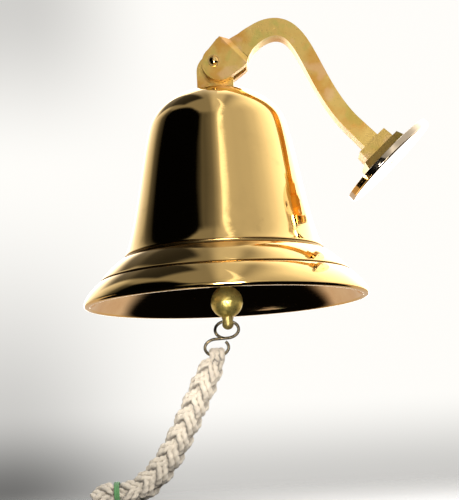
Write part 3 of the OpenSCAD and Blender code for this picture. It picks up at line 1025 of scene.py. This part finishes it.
# The bright streak: its turn at its foot, its lean, its foot's height, and the reach of its barbs.
STREAK_TURN, STREAK_LEAN, STREAK_FOOT = 4, 0.28, 33
STREAK_BARBS = 19

# The floor: its size and middle, in metres, and how its far part melts into the backdrop.
FLOOR_WIDE, FLOOR_DEEP = 9.0, 7.0
FLOOR_MIDDLE_Y = 1.2
FLOOR_GAP = 0.3
FAN_FROM = 0.97
FAN_SHADE = (0.02, -0.26)
MELT = (0.42, 0.98)

# What the metal mirrors of the floor, a painted reflection: for all rays but the camera's the floor glows,
# dark under the bell, warm behind it and pale in front.
FLOOR_DARK = (0.0015, 0.0013, 0.001)
FLOOR_WARM = (0.62, 0.50, 0.39)
FLOOR_PALE = (1.0, 0.96, 0.86)
BEHIND_BELL = (0.12, 0.20)
BEFORE_BELL = (-0.40, -0.60)

BELL_MIDDLE = -100

# Name, place from the bell's middle, width, height, watts, and whether metal mirrors it.
LAMPS = [
    ("key", (0.65, -0.75, 0.60), 0.7, 0.7, 15.0, False),
    ("fill", (-0.70, -0.60, 0.20), 0.6, 0.6, 5.0, False),
    ("low", (0.02, -0.30, -0.11), 0.10, 0.06, 0.80, True),
]


class SHIPBELL_OT_stage(bpy.types.Operator):
    """Lay the floor and set the surroundings, the lights and the camera"""

    bl_idname = "ship_bell.stage"
    bl_label = "Stage"

    def execute(self, context):
        stage = context.scene.ship_bell.stage
        self.lay_floor(stage)
        self.light_surroundings(context, stage)
        self.add_lights()
        self.add_camera(context, stage)
        context.scene.view_settings.view_transform = "Standard"
        return {"FINISHED"}

    def lay_floor(self, stage):
        deselect()
        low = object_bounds()[0]
        spot = (PIVOT.x, FLOOR_MIDDLE_Y, low[2] - FLOOR_GAP * MM)
        bpy.ops.mesh.primitive_plane_add(size=1.0, location=spot)
        floor = bpy.context.object
        floor.name = "floor"
        floor.scale = (FLOOR_WIDE, FLOOR_DEEP, 1.0)
        finish_place(floor)
        material, net = new_net("floor_paper")
        seen = net.field("ShaderNodeLightPath", output="Is Camera Ray")
        x, y, _ = net.parts(net.place())
        # Painted shade: the floor darkens towards the left, fanning out from in front of the bell.
        fan = (x - PIVOT.x) / (y + FAN_FROM)
        sheet = net.mix(fan.rise(*FAN_SHADE), (stage.floor,) * 3, (stage.floor * 0.3,) * 3)
        pale = net.field("ShaderNodeBsdfDiffuse", (), {"Color": sheet})
        clear = net.field("ShaderNodeBsdfTransparent")
        near = (1.0 / (y + FAN_FROM)).rise(*MELT)
        pale = net.field("ShaderNodeMixShader", (), {0: near, 1: clear, 2: pale})
        # Painted reflection: rays other than the camera's see the floor as a glowing sheet, near black under
        # the bell, warm behind it and a bright pale patch in front.
        glow = net.mix(y.rise(*BEHIND_BELL), FLOOR_DARK, FLOOR_WARM)
        ahead = y.rise(*BEFORE_BELL) * (x - PIVOT.x).hump(-0.05, 0.12, 0.12)
        glow = net.mix(ahead, glow, FLOOR_PALE)
        floor_mirror_glow = net.field("ShaderNodeEmission", (), {"Color": glow, "Strength": 1.0 + ahead * 5.0})
        both = net.field("ShaderNodeMixShader", (), {0: seen, 1: floor_mirror_glow, 2: pale})
        net.node("ShaderNodeOutputMaterial", (), {"Surface": both})
        floor.data.materials.append(material)
        floor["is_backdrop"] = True

    def studio(self, net, x, y, z):
        """How bright the studio is in each direction, as the metal mirrors it."""
        ripple = net.noise(net.vector(x, y, z), 2.2, 2.0) - 0.5
        turn = x.math("ARCTAN2", 0 - y) * (180 / math.pi) + ripple * 14
        height = z.math("ARCSINE") * (180 / math.pi)
        stops = [((angle + 180) / 360, level / BRIGHTEST) for angle, level in SURROUND]
        level = net.field("ShaderNodeValToRGB", {"stops": stops}, {0: turn / 360 + 0.5}) * BRIGHTEST

        aside = (turn - WINDOW_TURN) / WINDOW_HALF_WIDE
        bow = (aside * aside).math("MINIMUM", 1.3)
        crisp = (height + ripple * 2 + bow * 9).rise(*WINDOW_EDGE)
        ceiling = crisp + (height.rise(*SOFT_EDGE) - crisp) * turn.rise(*SOFT_SIDE)
        top = 0.25 + x.hump(-0.02, 0.07, 0.12) * 0.4 + y.rise(0.2, 0.9) * 0.45 + x.rise(0.08, 0.5) * 0.6
        level = level * (1 - ceiling) + top * ceiling

        soffit = (x + y * 0.06).hump(*SOFFIT_SIDE) * y.rise(0.0, 0.16) * height.rise(*SOFFIT_HEIGHT)
        level = level * (1 - soffit * 0.9)
        level = level + height.rise(24, 14) * turn.hump(-24, 26, 14) * 0.20

        barbs = net.noise(net.vector(turn * 0.04 + height * 0.05, height * 0.22, 0.0), 3.0, 3.0)
        spine = turn - STREAK_TURN - (height - STREAK_FOOT) * STREAK_LEAN
        streak = spine.rise(-3.0, 0.5) * (spine - barbs * STREAK_BARBS).rise(1.0, -7.0) * height.rise(22, 30)
        return level + streak * (0.25 + barbs * 1.35)

    def backdrop(self, x, z):
        """How bright the paper behind the bell is, shaded low down and towards the left."""
        height = z.math("ARCSINE") * (180 / math.pi)
        left = x.rise(-0.06, -0.19)
        shade = height.rise(2.4, -1.0) * 0.38 + left * height.rise(12.0, -0.5) * 0.45
        corner = height.rise(12, 19) * x.rise(-0.06, -0.16) * 0.36
        return 1.0 - shade - corner

    def light_surroundings(self, context, stage):
        world = bpy.data.worlds.new("studio")
        context.scene.world = world
        net = Net(world)
        x, y, z = net.parts(net.field("ShaderNodeTexCoord", output="Generated"))
        values = {"Color": rgba(LIGHT_TINT), "Strength": self.studio(net, x, y, z) * stage.light}
        reflected = net.field("ShaderNodeBackground", (), values)
        values = {"Color": rgba(BACKDROP_TINT), "Strength": self.backdrop(x, z)}
        backdrop = net.field("ShaderNodeBackground", (), values)
        seen = net.field("ShaderNodeLightPath", output="Is Camera Ray")
        both = net.field("ShaderNodeMixShader", (), {0: seen, 1: reflected, 2: backdrop})
        net.node("ShaderNodeOutputWorld", (), {"Surface": both})

    def add_lights(self):
        deselect()
        bell = at(0, 0, BELL_MIDDLE)
        for name, spot, wide, tall, power, gloss in LAMPS:
            bpy.ops.object.light_add(type="AREA", location=bell + Vector(spot))
            lamp = bpy.context.object
            lamp.name = name
            lamp.data.shape = "RECTANGLE"
            lamp.data.size = wide
            lamp.data.size_y = tall
            lamp.data.energy = power
            lamp.rotation_euler = (-Vector(spot)).to_track_quat("-Z", "Y").to_euler()
            lamp.visible_glossy = gloss
            lamp.visible_camera = False

    def add_camera(self, context, stage):
        spot, aim = at(*CAMERA_SPOT), at(*CAMERA_AIM)
        bpy.ops.object.camera_add(location=spot)
        camera = bpy.context.object
        camera.name = "camera"
        camera.data.lens = stage.lens
        camera.data.sensor_width = SENSOR_WIDE
        camera.data.sensor_fit = "HORIZONTAL"
        camera.data.clip_start = NEAREST_SEEN
        turned = (aim - spot).to_track_quat("-Z", "Y").to_matrix() @ Matrix.Rotation(stage.roll, 3, "Z")
        camera.rotation_euler = turned.to_euler()
        context.scene.camera = camera


# ---------------------------------------------------------------- panel and registration


class SHIPBELL_PT_panel(bpy.types.Panel):
    """Buttons and sizes in the 3D view's sidebar"""

    bl_label = "Ship's Bell"
    bl_idname = "SHIPBELL_PT_panel"
    bl_space_type = "VIEW_3D"
    bl_region_type = "UI"
    bl_category = "Ship's Bell"

    def draw(self, context):
        settings = context.scene.ship_bell
        for group in (settings.bell, settings.lanyard, settings.finish, settings.stage):
            box = self.layout.box()
            for name in group.__annotations__:
                box.prop(group, name)
        for operator in OPERATORS:
            self.layout.operator(operator.bl_idname)


OPERATORS = (
    SHIPBELL_OT_stage,
    SHIPBELL_OT_lanyard,
    SHIPBELL_OT_shell,
    SHIPBELL_OT_crown,
    SHIPBELL_OT_bracket,
    SHIPBELL_OT_pivot,
    SHIPBELL_OT_clapper,
    SHIPBELL_OT_hook,
)
CLASSES = (BellSizes, LanyardSizes, Finishes, StageSettings, ShipBellSettings, *OPERATORS, SHIPBELL_PT_panel)


def register():
    for item in CLASSES:
        bpy.utils.register_class(item)
    bpy.types.Scene.ship_bell = PointerProperty(type=ShipBellSettings)


def unregister():
    del bpy.types.Scene.ship_bell
    for item in reversed(CLASSES):
        bpy.utils.unregister_class(item)


def main():
    register()
    bpy.ops.ship_bell.stage()
    bpy.ops.ship_bell.lanyard()
    bpy.ops.ship_bell.shell()
    bpy.ops.ship_bell.crown()
    bpy.ops.ship_bell.bracket()
    bpy.ops.ship_bell.pivot()
    bpy.ops.ship_bell.clapper()
    bpy.ops.ship_bell.hook()


if __name__ == "__main__":
    main()
